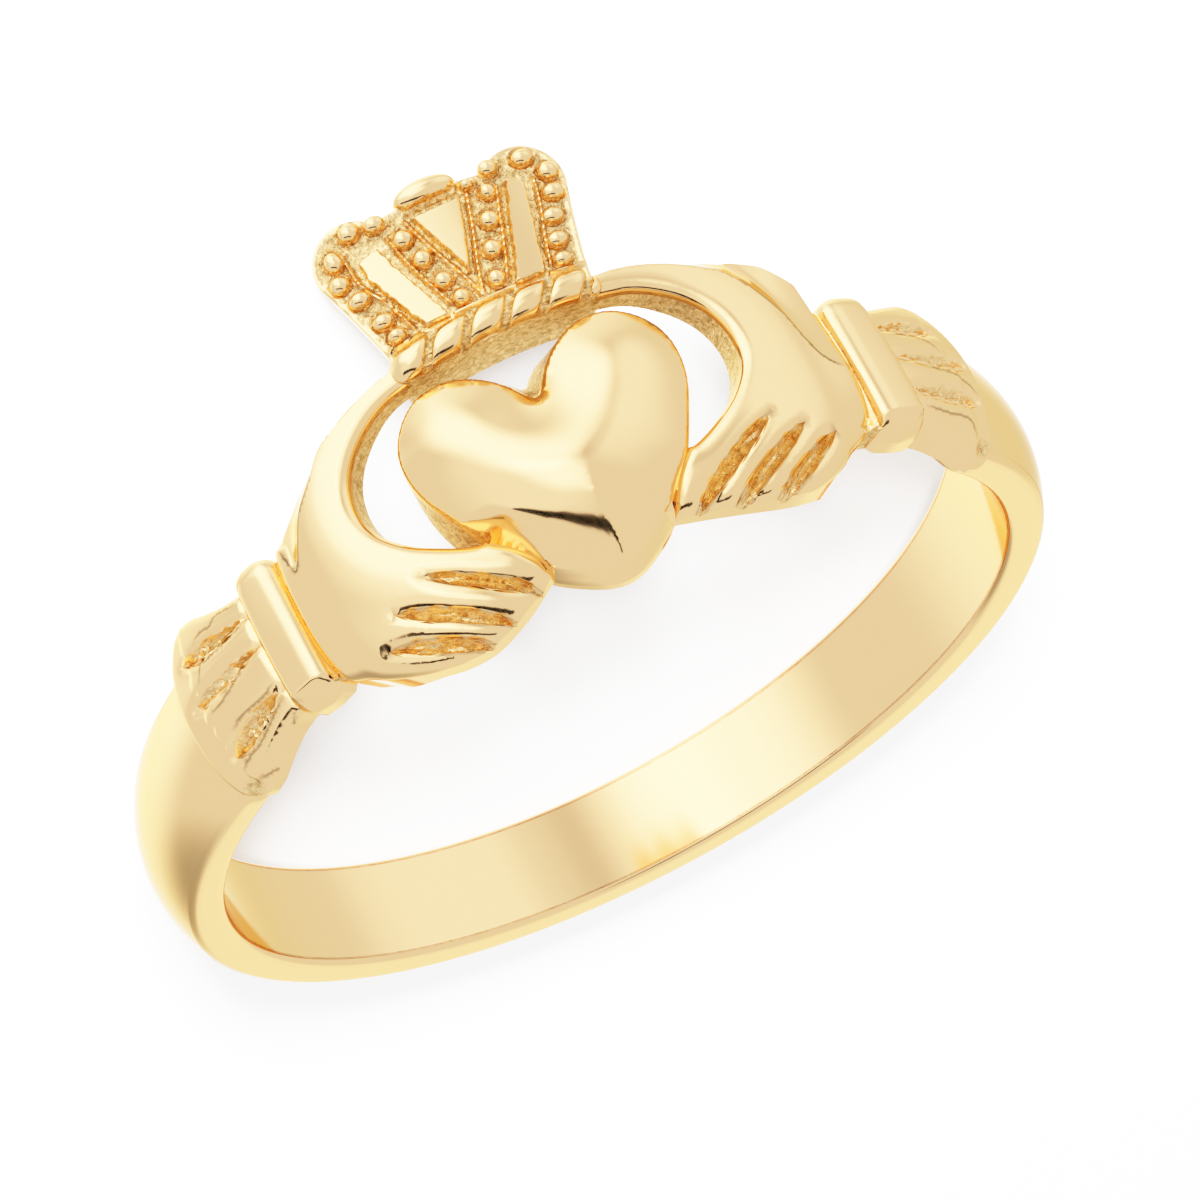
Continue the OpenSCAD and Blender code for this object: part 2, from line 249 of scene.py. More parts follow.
# solid over a flat sheet: a face at the top radius, walls, and a back at the back radius; cast
# gives how rough the face is at each point, and a function for the walls and the back
def relief(name, sheet, top, cast, back, paintedShadeAndSpots=None):
    p, tri = sheet
    mesh = bpy.data.meshes.new(name)
    mesh.from_pydata([(x, y, 0) for x, y in p], [], tri.tolist())
    bm = bmesh.new()
    bm.from_mesh(mesh)
    bmesh.ops.recalc_face_normals(bm, faces=bm.faces)
    grown = bmesh.ops.extrude_face_region(bm, geom=bm.faces[:], use_keep_orig=True)
    lifted = [g for g in grown["geom"] if isinstance(g, bmesh.types.BMVert)]
    bmesh.ops.translate(bm, verts=lifted, vec=(0, 0, 1))
    upright = [e for e in bm.edges if abs(e.verts[0].co.z - e.verts[1].co.z) > 0.5]
    bmesh.ops.subdivide_edges(bm, edges=upright, cuts=len(wallRows) - 2, use_grid_fill=True)
    bmesh.ops.recalc_face_normals(bm, faces=bm.faces)
    u, v, level = np.array([v.co[:] for v in bm.verts]).T
    bm.to_mesh(mesh)
    bm.free()
    # the points of walls and back take their values from the face point over them
    places = {(round(x, 6), round(y, 6)): k for k, (x, y) in enumerate(p.tolist())}
    at = np.array([places.get((round(x, 6), round(y, 6)), 0) for x, y in zip(u.tolist(), v.tolist())])
    low = back(u, v)
    share = np.interp(level, np.linspace(0, 1, len(wallRows)), wallRows)
    mesh.vertices.foreach_set("co", wrapped(u, v, low + (top[at] - low) * share).ravel())
    face = level > 0.99
    paint = {"cast": np.where(face, cast[0][at], cast[1](u, v))}
    # the painted shade and dark spots lie on the face only
    if paintedShadeAndSpots is not None:
        paint["paintedShadeAndSpots"] = np.where(face, paintedShadeAndSpots[at], 0)
    for kind, values in paint.items():
        layer = mesh.attributes.new(kind, "FLOAT", "POINT")
        layer.data.foreach_set("value", values.astype(np.float32))
    finished(name, mesh)


def finished(name, mesh, sharp=42):
    mesh.transform(ringFrame)
    mesh.update()
    for kind in ("cast", "paintedShadeAndSpots"):
        if kind not in mesh.attributes:
            mesh.attributes.new(kind, "FLOAT", "POINT")
    for face in mesh.polygons:
        face.use_smooth = True
    mesh.set_sharp_from_angle(angle=math.radians(sharp))
    mesh.materials.append(goldMaterial())
    piece = bpy.data.objects.new(name, mesh)
    bpy.context.scene.collection.objects.link(piece)
    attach(piece, "root")
    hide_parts("ring")
    print(name, len(mesh.polygons), "faces")


def fromBmesh(name, bm, sharp=42):
    mesh = bpy.data.meshes.new(name)
    bm.to_mesh(mesh)
    bm.free()
    finished(name, mesh, sharp)


# material

gold = {
    # the last colour is painted shade, laid along creases, at slit edges and round beads and panels, and also
    # dark spots at random on the rough ground
    "polish": (0.95, 0.56, 0.235, 1), "grazing": (0.95, 0.78, 0.5, 1), "paintedShadeAndSpots": (0.13, 0.07, 0.025, 1),
    # colours in the dips and on the crests of the cast grain, the dips also darkened as painted shade of the
    # recesses, and the noise where each begins
    "castDipsAndShade": (0.42, 0.25, 0.08, 1), "castHigh": (0.95, 0.61, 0.26, 1), "crests": (0.36, 0.62),
    # roughness of the least and most worn polish, and of the cast floors
    "polishRoughness": (0.07, 0.14), "castRoughness": 0.3,
    # noise cells a metre; depth of the cast grain in metres, and how much of it shows
    "grainScale": 9000.0, "wearScale": 900.0, "bump": 0.00008, "bumpShare": 0.9,
}


def goldMaterial():
    made = bpy.data.materials.get("yellowGold")
    if made:
        return made
    made = bpy.data.materials.new("yellowGold")
    made.use_nodes = True
    tree = made.node_tree
    tree.nodes.clear()
    link = tree.links.new

    def node(kind, **values):
        got = tree.nodes.new(kind)
        for key, value in values.items():
            if key in got.inputs:
                got.inputs[key].default_value = value
            else:
                setattr(got, key, value)
        return got

    # a mix of two colours, each of them fixed or from another node
    def mixed(share, low, high):
        got = node("ShaderNodeMix", data_type="RGBA")
        link(share, got.inputs[0])
        for place, colour in ((6, low), (7, high)):
            if isinstance(colour, tuple):
                got.inputs[place].default_value = colour
            else:
                link(colour, got.inputs[place])
        return got.outputs[2]

    place = node("ShaderNodeTexCoord").outputs["Object"]
    cast = node("ShaderNodeAttribute", attribute_name="cast").outputs["Fac"]
    paintedShadeAndSpots = node("ShaderNodeAttribute", attribute_name="paintedShadeAndSpots").outputs["Fac"]
    shader = node("ShaderNodeBsdfPrincipled", Metallic=1.0)
    shader.inputs["Specular Tint"].default_value = gold["grazing"]
    # fine grain of the cast floors, and faint wear of the polished faces
    noise = node("ShaderNodeTexNoise", Scale=gold["grainScale"], Detail=3.0, Roughness=0.6, Distortion=0.8)
    wear = node("ShaderNodeTexNoise", Scale=gold["wearScale"], Detail=4.0, Roughness=0.6)
    link(place, noise.inputs["Vector"])
    link(place, wear.inputs["Vector"])
    crest = node("ShaderNodeMapRange")
    crest.inputs["From Min"].default_value, crest.inputs["From Max"].default_value = gold["crests"]
    link(noise.outputs["Fac"], crest.inputs["Value"])
    # the cast floors take the grain colours, whose dark dips are partly painted shade of the recesses
    floor = mixed(crest.outputs["Result"], gold["castDipsAndShade"], gold["castHigh"])
    colour = mixed(cast, gold["polish"], floor)
    # painted shade and dark spots: the dark colour is mixed in where the attribute marks them
    link(mixed(paintedShadeAndSpots, colour, gold["paintedShadeAndSpots"]), shader.inputs["Base Color"])
    polish = node("ShaderNodeMapRange")
    polish.inputs["To Min"].default_value, polish.inputs["To Max"].default_value = gold["polishRoughness"]
    link(wear.outputs["Fac"], polish.inputs["Value"])
    rough = node("ShaderNodeMix", data_type="FLOAT")
    link(cast, rough.inputs[0])
    link(polish.outputs["Result"], rough.inputs[2])
    rough.inputs[3].default_value = gold["castRoughness"]
    link(rough.outputs[0], shader.inputs["Roughness"])
    strength = node("ShaderNodeMath", operation="MULTIPLY")
    strength.inputs[1].default_value = gold["bumpShare"]
    link(cast, strength.inputs[0])
    bump = node("ShaderNodeBump", Distance=gold["bump"])
    link(strength.outputs[0], bump.inputs["Strength"])
    link(noise.outputs["Fac"], bump.inputs["Height"])
    link(bump.outputs["Normal"], shader.inputs["Normal"])
    link(shader.outputs["BSDF"], node("ShaderNodeOutputMaterial").inputs["Surface"])
    return made


# camera

# its axes in the ring's frame, and the ring's middle seen from it, right, down and ahead, in mm
camera = {
    "right": (0.8949, -0.4435, -0.0499),
    "down": (-0.4234, -0.8083, -0.4091),
    "ahead": (0.1411, 0.3872, -0.9111),
    "offset": (-0.131, 1.389, 113.319),
    "lens": 171.7725, "sensor": 36,
}


def makeCamera():
    right, down, ahead = (Vector(camera[k]) for k in ("right", "down", "ahead"))
    x, y, z = camera["offset"]
    turn = ringFrame.to_3x3() * 1000
    pose = Matrix([(turn @ axis).normalized() for axis in (right, -down, -ahead)]).transposed().to_4x4()
    pose.translation = ringFrame @ -(right * x + down * y + ahead * z)
    made = bpy.data.objects.new("camera", bpy.data.cameras.new("camera"))
    bpy.context.scene.collection.objects.link(made)
    made.matrix_world = pose
    made.data.lens = camera["lens"]
    made.data.sensor_width = camera["sensor"]
    made.data.clip_start = 0.01
    made.data.clip_end = 5
    bpy.context.scene.camera = made
    print("camera made")


makeCamera()


# band

band = {
    "startDeg": 31, "turns": 220, "across": 28, "edgeR": 0.12,
    # half width of the neck under the sleeve ends, and the u where it starts to widen, and how long
    "neckHalf": 1.0, "neckU": 9.4, "neckRun": 0.9,
    # added to the radius at the right side
    "wideRight": 0.05, "sideX": 9.7,
}


# radius of the half-round outside, at a distance from the band's middle
def domeRadius(y):
    return ring["holeR"] + ring["bandT"] - ring["domeR"] + math.sqrt(ring["domeR"] ** 2 - y ** 2)


# closed section at the back of the band: place across it, radius
def bandSection():
    half, inner = ring["backHalf"], ring["holeR"]
    spots = [half * (2 * k / band["across"] - 1) for k in range(band["across"] + 1)]
    edge = [inner + (domeRadius(half) - inner) * share for share in (0.33, 0.66)]
    outside = [(y, domeRadius(y)) for y in spots] + [(half, r) for r in edge[::-1]]
    return outside + [(-y, inner) for y in spots] + [(-half, r) for r in edge]


def makeBand():
    bm = bmesh.new()
    start, half, holeR = math.radians(band["startDeg"]), ring["backHalf"], ring["holeR"]
    verts = [bm.verts.new((r * math.sin(start), y, r * math.cos(start))) for y, r in bandSection()]
    bmesh.ops.spin(bm, geom=[bm.faces.new(verts)], cent=(0, 0, 0), axis=(0, 1, 0),
                   angle=2 * math.pi - 2 * start, steps=band["turns"], use_merge=False)
    bmesh.ops.remove_doubles(bm, verts=bm.verts, dist=1e-5)
    bmesh.ops.recalc_face_normals(bm, faces=bm.faces)
    # the four long edges are rounded
    long = []
    for e in bm.edges:
        a, b = (v.co for v in e.verts)
        runs = abs(math.atan2(a.x, a.z) - math.atan2(b.x, b.z)) >= 1e-4
        if runs and abs(abs(a.y) - half) < 1e-5 and len(e.link_faces) == 2 and e.calc_face_angle(0) > 0.7:
            long.append(e)
    bmesh.ops.bevel(bm, geom=long, offset=band["edgeR"], segments=5, profile=0.5, affect="EDGES", material=-1)
    # the band widens and thickens towards the cuffs, and narrows to a neck under the sleeve ends
    backZ = -domeRadius(half)
    for v in bm.verts:
        r = math.hypot(v.co.x, v.co.z)
        share = min(1, max(0, (v.co.z - backZ) / (holeR - backZ)))
        wide = half + (ring["frontHalf"] - half) * share
        u = abs(math.atan2(v.co.x, v.co.z)) * ring["faceR"]
        wide = band["neckHalf"] + (wide - band["neckHalf"]) * eased((u - band["neckU"]) / band["neckRun"])
        across = v.co.y / half
        part = (r - holeR) / max(domeRadius(across * half) - holeR, 1e-6)
        shoulder = domeRadius(across * wide) + band["wideRight"] * max(0, v.co.x / band["sideX"])
        stretch = (holeR + part * (shoulder - holeR)) / r
        v.co.x *= stretch
        v.co.z *= stretch
        v.co.y = across * wide
    fromBmesh("band", bm, 50)


makeBand()


# heart

heart = {
    # half of the rim, from the cleft round to the tip
    "rim": [
        (0, 1.17), (0.13, 1.28), (0.3, 1.52), (0.52, 1.78), (0.85, 2.05), (1.3, 2.26), (1.8, 2.3),
        (2.22, 2.17), (2.56, 1.9), (2.8, 1.55), (2.9, 1.15), (2.88, 0.72), (2.76, 0.3), (2.56, -0.12),
        (2.36, -0.5), (2.14, -0.88), (1.9, -1.2), (1.62, -1.5), (1.32, -1.8), (0.95, -2.06),
        (0.5, -2.3), (0.2, -2.4), (0, -2.42),
    ],
    "rimR": 10.18, "rimEdge": 0.08, "footR": 9.12,
    # how far the wall slants out all round, at the left and at the cleft, and the radius it falls to
    "wall": 0.12, "wallLeft": 0.2, "wallCleft": 0.52, "wallR": 9.3,
    # how high it swells, and how far in from the rim and how evenly it does so
    "puff": 0.88, "deep": 1.85, "power": 1.6,
    # a steep facet lies outside of these lines
    "creaseLeft": ((-1.72, -0.52), (0, -2.42)), "creaseRight": ((2.05, -1.1), (0, -2.42)),
    "slope": 1.05, "drop": 0.4,
    # size of the triangles, and rows of points along the rim
    "mesh": (0.055, (0.04,)),
}


# how far points lie below a line, with a soft start
def beyond(line, p, soft):
    a, b = np.array(line)
    way = (b - a) / np.hypot(*(b - a))
    if way[0] < 0:
        way = -way
    off = (p - a) @ np.array([way[1], -way[0]])
    return 0.5 * (off + np.sqrt(off * off + soft * soft))


# the wall of the heart is cast down to the fingers, and polished between them
def castAbove(u, v):
    return np.clip((v + 1.1) / 0.2, 0, 1)


def makeHeart():
    half = smoothCurve(heart["rim"])
    half[0, 0] = half[-1, 0] = 0
    rim = np.vstack([half, half[1:-1][::-1] * (-1, 1)])
    x, y = rim.T
    wide = heart["wall"] + heart["wallLeft"] * np.exp(-((y + 0.25) / 0.75) ** 2) * (x < -1.5)
    foot = rim + wide[:, None] * normals(rim)
    foot[:, 1] += heart["wallCleft"] * np.clip(1 - np.abs(x) / 1.1, 0, 1) * (y > 0.9)
    foot = foot[(np.abs(x) > 0.12) | (y < 0)]
    ridge = np.c_[np.zeros(28), np.linspace(-0.5, -2.2, 28)]
    p, tri = flatSheet(foot, *heart["mesh"], marks=[rim], lines=[ridge])
    u, v = p.T
    gap = distance(rim, p)
    within = inside(rim, p) | (gap < 1e-5)
    reach = np.where(within, gap, 0)
    top = heart["rimR"] + heart["puff"] * (1 - (1 - np.clip(reach / heart["deep"], 0, 1)) ** heart["power"])
    # the ridges of the upper half melt into round pillows
    top = evened(top, tri, np.clip((v + 1.3) / 1.6, 0, 1) * np.clip(reach / 0.4, 0, 1), 160)
    top -= rounding(reach, heart["rimEdge"])
    # the facets grow softer towards the tip
    soft = 0.03 + 0.3 * np.clip(-0.8 - v, 0, 1.7)
    facet = np.where(u < 0, beyond(heart["creaseLeft"], p, soft), beyond(heart["creaseRight"], p, soft))
    sunk = heart["drop"] * np.tanh(heart["slope"] * facet / heart["drop"])
    top -= sunk * np.clip((-0.4 - v) / 0.4, 0, 1)
    fall = gap / np.maximum(gap + distance(foot, p), 1e-9)
    top = np.where(within, top, top - (top - heart["wallR"]) * fall)
    cast = np.where(~within & (gap > 0.02) & (v > -0.85), 1.0, 0.0)
    relief("heart", (p, tri), top, (cast, castAbove), held(heart["footR"]))


makeHeart()


# hands

hand = {
    # upper and lower outline, and the u of the points that each is drawn through
    "topLeft": [
        (0, 3.1), (1.2, 3.22), (1.95, 3.22), (2.92, 2.98), (3.83, 2.71), (4.65, 2.4), (5.1, 2.12),
        (5.44, 1.82), (5.75, 1.55), (6.1, 1.38), (6.6, 1.25),
    ],
    "topRight": [
        (0, 3.1), (1.2, 3.2), (2.16, 3.26), (3.35, 3.1), (4.33, 2.98), (4.97, 2.82), (5.57, 2.45),
        (6.05, 2.0), (6.6, 1.4),
    ],
    "topPoints": (0.6, 1.2, 1.6, 2.05, 2.6, 3.1, 3.6, 4.05, 4.4, 4.8, 5.2, 5.5, 5.8),
    "bottomLeft": [
        (0, -1.5), (0.6, -1.68), (1.19, -1.85), (2.12, -2.33), (3.02, -2.6), (3.78, -2.55),
        (4.52, -2.3), (5.2, -1.95), (5.7, -1.62), (6.6, -1.2),
    ],
    "bottomRight": [
        (0, -1.7), (0.6, -1.8), (1.49, -1.97), (2.37, -2.14), (3.31, -2.3), (4.09, -2.38),
        (4.7, -2.24), (5.2, -2.0), (5.7, -1.68), (6.6, -1.2),
    ],
    "bottomPoints": (5.6, 5.25, 4.75, 4.2, 3.6, 2.95, 2.1, 1.25, 0.6),
    "endLeft": 5.98, "endRight": 6.22,
    # height of the crest over the finger hole, and its share along the hand
    "crest": 1.9,
    "rise": [
        (0, 0.84), (1.0, 0.86), (1.86, 0.92), (2.7, 0.97), (3.5, 1.0), (4.2, 0.98), (5.0, 0.93),
        (5.6, 0.87), (6.6, 0.8),
    ],
    # share of the crest at the lower and upper edge, and how square the arch between them is
    "archLow": 0.62, "archHigh": 0.8, "archPower": 2.4,
    # radius of the upper edge
    "edgeLeft": [(0, 9.62), (4.4, 9.62), (5.2, 9.7), (5.7, 9.82), (6.6, 9.9)],
    "edgeRight": [(0, 9.62), (4.4, 9.62), (5.2, 9.8), (5.7, 10.0), (6.6, 10.02)],
    # where the flat facet along the upper edge begins
    "creaseLeft": [
        (0, 3.0), (2.0, 3.02), (3.0, 2.83), (4.0, 2.45), (4.5, 1.99), (5.0, 1.55), (5.3, 1.1),
        (5.6, 0.67), (5.75, 1.1), (5.9, 1.35), (6.6, 1.2),
    ],
    "creaseRight": [
        (0, 3.0), (2.0, 3.02), (3.0, 2.9), (4.2, 2.4), (4.5, 2.25), (5.0, 1.65), (5.3, 1.1),
        (5.5, 0.45), (5.8, 0.0), (6.6, -0.3),
    ],
    "opening": [
        (2.0, 2.62), (2.6, 2.5), (3.1, 2.25), (3.6, 1.85), (3.9, 1.4), (4.0, 0.85), (3.85, 0.3),
        (3.4, -0.24), (2.85, -0.62), (2.4, -0.84), (2.15, -0.88), (1.98, -0.72),
    ],
    "openingEdge": 0.24, "openingRoll": 0.13,
    # the hand stays under the rail: radius, and how it climbs from there
    "railR": 9.85, "railU": 1.75, "railSlope": 0.9,
    # where the first finger lies against the heart, and the bed under its end
    "tipLeft": [(1.97, -1.0), (1.78, -1.17), (1.6, -1.35), (1.4, -1.6), (1.25, -1.88), (1.1, -2.3)],
    "tipRight": [(1.97, -1.0), (1.8, -1.18), (1.64, -1.38), (1.46, -1.65), (1.36, -1.88), (1.3, -2.3)],
    "tipEdge": 0.25, "bedLeft": 9.8, "bedRight": 9.95,
    # ends of each slit between the fingers, its width and depth, and the roll of the face beside it
    "slitsLeft": [
        ((3.5, -0.93), (1.55, -2.22)), ((4.27, -1.25), (2.3, -2.52)), ((4.77, -1.7), (2.82, -2.7)),
    ],
    "slitsRight": [
        ((3.85, -0.87), (1.65, -2.15)), ((4.47, -1.2), (2.3, -2.42)), ((5.1, -1.45), (3.15, -2.58)),
    ],
    "slitW": 0.27, "slitDepth": 0.2, "slitRoll": 0.065,
    # radius added to the back of the palm
    "backStep": 0.25,
    "mesh": (0.055, (0.03, 0.07, 0.12)),
}


# slits of hands and sleeves
slit = {
    # ribs on the floor: height, distance from one to the next, how much they wander
    "ribs": 0.03, "ribGap": 0.1, "wander": 1.6,
    # width of the slit's wall, and of the strip beside it that rolls down; roughness of the floor
    "wall": 0.06, "rollW": 0.22, "cast": 0.65,
}


# pointed slit from a to b, with its widest place nearer to b where it leans
def spindle(a, b, width, lean=1):
    a, b = np.array(a), np.array(b)
    way = b - a
    normal = np.array([-way[1], way[0]]) / np.hypot(*way)
    t = np.linspace(0, 1, 15)
    wide = width / 2 * np.minimum(1, np.sin(math.pi * t ** lean) ** 0.75 * 1.15)
    up = a + np.outer(t, way) + np.outer(wide, normal)
    down = a + np.outer(t, way) - np.outer(wide, normal)
    return np.vstack([up, down[1:-1][::-1]])


# a slit sinks to a rough ribbed floor, and the face on both sides rolls down to it
def carve(top, cast, p, loop, depth, roll):
    gap = distance(loop, p)
    within = inside(loop, p)
    way = loop[len(loop) // 2] - loop[0]
    across = (p - loop[0]) @ np.array([-way[1], way[0]]) / np.hypot(*way)
    wander = slit["wander"] * grain(p[:, 0], p[:, 1], 0.5, 3)
    floor = depth + slit["ribs"] * np.sin(across * 6.283 / slit["ribGap"] + wander)
    beside = roll * np.clip(1 - gap / slit["rollW"], 0, 1) ** 2
    top = top - np.where(within, floor * np.clip(gap / slit["wall"], 0, 1), beside)
    return top, np.maximum(cast, np.where(within & (gap > 0.01), slit["cast"], 0.0))


def handBack(u, v):
    x = np.clip((v + 1.2) / 0.8, 0, 1) * np.clip((4.9 - np.abs(u)) / 0.8, 0, 1)
    return backRadius(u) + hand["backStep"] * x


def castInside(u, v):
    return np.where((np.abs(u) < 4.15) & (v > -1.2) & (v < 2.75), 1.0, 0.0)


def handOutline(name):
    end, opening = hand["end" + name], hand["opening"]
    topPoints, bottomPoints = (*hand["topPoints"], end), (end, *hand["bottomPoints"])
    above = [(u, float(table(hand["top" + name], u))) for u in topPoints]
    below = [(u, float(table(hand["bottom" + name], u))) for u in bottomPoints]
    return cornered([
        above,
        [above[-1], (end + 0.03, 0.7), (end - 0.02, 0), (end + 0.02, -0.7), below[0]],
        below,
        [below[-1], (0.55, -1.2)],
        [(0.55, -1.2), (1.2, -0.9), opening[-1]],
        opening[::-1],
        [opening[0], (1.75, 2.72), (1.2, 2.82), (0.6, 2.82)],
        [(0.6, 2.82), above[0]],
    ], 0.06)


def makeHand(name, side):
    end = hand["end" + name]
    slits = [spindle(a, b, hand["slitW"]) for a, b in hand["slits" + name]]
    crease = smoothCurve(hand["crease" + name])
    crease = crease[(crease[:, 0] > 3.95) & (crease[:, 0] < end - 0.12)]
    p, tri = flatSheet(handOutline(name), *hand["mesh"], marks=slits, lines=[crease])
    u, v = p.T
    # an arch from edge to edge, and a facet that falls to the upper edge
    low, high = table(hand["bottom" + name], u), table(hand["top" + name], u)
    fold = np.minimum(table(hand["crease" + name], u), high - 0.12)
    share = np.clip((np.minimum(v, fold) - low) / (high - low), 0, 1)
    bow = np.sqrt(np.maximum(0, 1 - np.abs(2 * share - 1) ** hand["archPower"]))
    edge = np.where(share < 0.5, hand["archLow"], hand["archHigh"])
    top = ring["holeR"] + hand["crest"] * table(hand["rise"], u) * (edge + (1 - edge) * bow)
    fall = np.clip((v - fold) / (high - fold), 0, 1)
    top -= np.maximum(top - table(hand["edge" + name], u), 0) * fall ** 1.1
    # soft edges at the opening and the wrist
    off = distance(smoothCurve(hand["opening"]), p, closed=False)
    top -= 0.8 * rounding(off, hand["openingEdge"]) + hand["openingRoll"] * np.clip(1 - off / 0.75, 0, 1) ** 2
    top -= rounding(end - u, 0.09)
    under = hand["railR"] + hand["railSlope"] * np.maximum(0, u - hand["railU"])
    top = np.where(v > 2, np.minimum(top, under), top)
    # the first finger ends against the heart, over a lower bed
    tip = smoothCurve(hand["tip" + name])
    bed = inside(np.vstack([(2.12, -0.6), (2.12, -0.9), tip, (0, -2.6), (0, -0.6)]), p)
    tipFall = rounding(distance(tip, p, closed=False), hand["tipEdge"])
    top = np.where(bed, hand["bed" + name], top - tipFall)
    if side < 0:  # a facet at the end of the left first finger
        top -= 0.8 * np.clip(-1.9 - v, 0, 0.3) * np.clip((1.85 - u) / 0.2, 0, 1) * ~bed
    cast = np.zeros(len(p))
    # painted shade: a dark line along the crease of the upper facet
    paintedShadeAndSpots = creaseShade(p, [crease]) * np.clip((u - 4.1) / 0.8, 0, 1)
    for loop in slits:
        top, cast = carve(top, cast, p, loop, hand["slitDepth"], hand["slitRoll"])
        # painted shade: a dark line round each slit
        paintedShadeAndSpots = np.maximum(paintedShadeAndSpots, 0.55 * np.clip(1 - distance(loop, p) / 0.02, 0, 1))
    # painted shade: a dark line along the lip of the opening
    lip = distance(smoothCurve(hand["opening"][:-3]), p, closed=False)
    paintedShadeAndSpots = np.maximum(paintedShadeAndSpots, 0.5 * np.clip(1 - lip / 0.02, 0, 1))
    relief("hand" + name, sided(p, tri, side), top, (cast, castInside), handBack, paintedShadeAndSpots)


for name, side in sides:
    makeHand(name, side)


# crown

crown = {
    "groundR": 10.2, "backR": 9.4, "baseY": 2.9, "lobe": (1.8, 5.3), "lobeR": 0.83, "edgeR": 0.09,
    # lift of the panels, ridges and pan rims over the ground, and depth of the pans
    "panelLift": 0.19, "ridgeLift": 0.125, "panLift": 0.05, "panDepth": 0.04,
    "mesh": (0.034, (0.025, 0.05)),
    # middle, half width, half height and flat lower edge of the cap, and how far it bulges
    "cap": (-0.02, 5.92, 0.62, 0.27, 5.73), "capH": 0.32, "capEdge": 0.03,
    # the beads sit over the ground, a little larger than measured
    "beadLift": 0.05, "beadGrow": 1.1, "beadH": 0.2,
    # middle of each bead, half width, half height
    "beads": [
        (-0.8, 5.19, 0.19, 0.17), (-0.65, 4.65, 0.17, 0.17), (-0.5, 4.07, 0.17, 0.16),
        (-0.35, 3.6, 0.16, 0.15), (1.05, 5.37, 0.15, 0.15), (0.82, 4.82, 0.18, 0.17),
        (0.6, 4.24, 0.17, 0.17), (0.4, 3.65, 0.16, 0.16), (-1.15, 5.74, 0.2, 0.16),
        (-1.65, 5.82, 0.19, 0.17), (-2.15, 5.44, 0.17, 0.2), (-2.25, 4.97, 0.18, 0.17),
        (-2.05, 4.5, 0.2, 0.15), (-1.85, 3.88, 0.2, 0.15), (-1.75, 3.5, 0.17, 0.13),
        (1.27, 5.83, 0.18, 0.16), (1.97, 5.78, 0.2, 0.16), (2.3, 5.35, 0.18, 0.17),
        (2.2, 4.9, 0.2, 0.16), (1.95, 4.42, 0.2, 0.15), (1.8, 3.92, 0.19, 0.15),
        (1.7, 3.5, 0.17, 0.13), (0.75, 5.65, 0.13, 0.1),
    ],
    # raised panels: outline, and how ragged it is
    "panels": [
        ([(-1.72, 5.15), (-1.3, 5.22), (-1.2, 4.8), (-1.0, 4.2), (-0.8, 3.6), (-0.7, 3.36), (-1.15, 3.38),
          (-1.3, 3.65), (-1.45, 4.05), (-1.72, 4.8)], 0.02),
        ([(1.45, 5.42), (1.76, 5.27), (1.52, 4.35), (1.27, 3.37), (0.67, 3.37), (0.95, 4.03), (1.15, 4.62),
          (1.35, 5.12)], 0.018),
        ([(-0.45, 5.46), (0.5, 5.46), (0.32, 4.85), (0.03, 4.02), (-0.25, 4.85)], 0.006),
    ],
    "ridges": [
        [(-0.62, 5.5), (-0.4, 4.75), (-0.1, 3.9), (0.02, 3.45)],
        [(0.68, 5.5), (0.45, 4.75), (0.16, 3.9), (0.05, 3.45)],
        [(-1.05, 5.35), (-0.95, 4.8), (-0.78, 4.2), (-0.58, 3.6)],
        [(1.25, 5.4), (1.05, 4.85), (0.83, 4.2), (0.6, 3.6)],
        [(-2.05, 3.27), (-1.0, 3.34), (0, 3.36), (1.0, 3.34), (2.05, 3.27)],
        [(-1.95, 5.3), (-1.9, 4.75), (-1.6, 4.1), (-1.42, 3.5)],
        [(1.98, 5.3), (1.85, 4.75), (1.62, 4.1), (1.45, 3.5)],
    ],
}


# a base, a round lobe at each side and a bump under the cap
def crownOutline():
    x, y = crown["lobe"]
    turns = np.linspace(math.radians(-14), math.radians(142), 16)
    lobe = [(x + crown["lobeR"] * math.cos(t), y + crown["lobeR"] * math.sin(t)) for t in turns]
    half = [
        [(2.06, crown["baseY"]), (2.16, 3.5), (2.42, 4.5), *lobe],
        [lobe[-1], (0.9, 5.84), (0.66, 5.86)],
        [(0.66, 5.86), (0.62, 5.92), (0.53, 6.06), (0.35, 6.15), (0.15, 6.18), (0, 6.185)],
    ]
    mirrored = [[(-x, y) for x, y in part][::-1] for part in half[::-1]]
    return cornered([*half, *mirrored, [(-2.06, crown["baseY"]), (2.06, crown["baseY"])]], 0.05)


def ragged(points, depth, seed):
    loop = cornered([[a, b] for a, b in zip(points, points[1:] + points[:1])], 0.04)
    x, y = loop.T
    return loop + depth * np.c_[grain(x, y, 0.35, seed), grain(y, x, 0.3, seed + 1)]


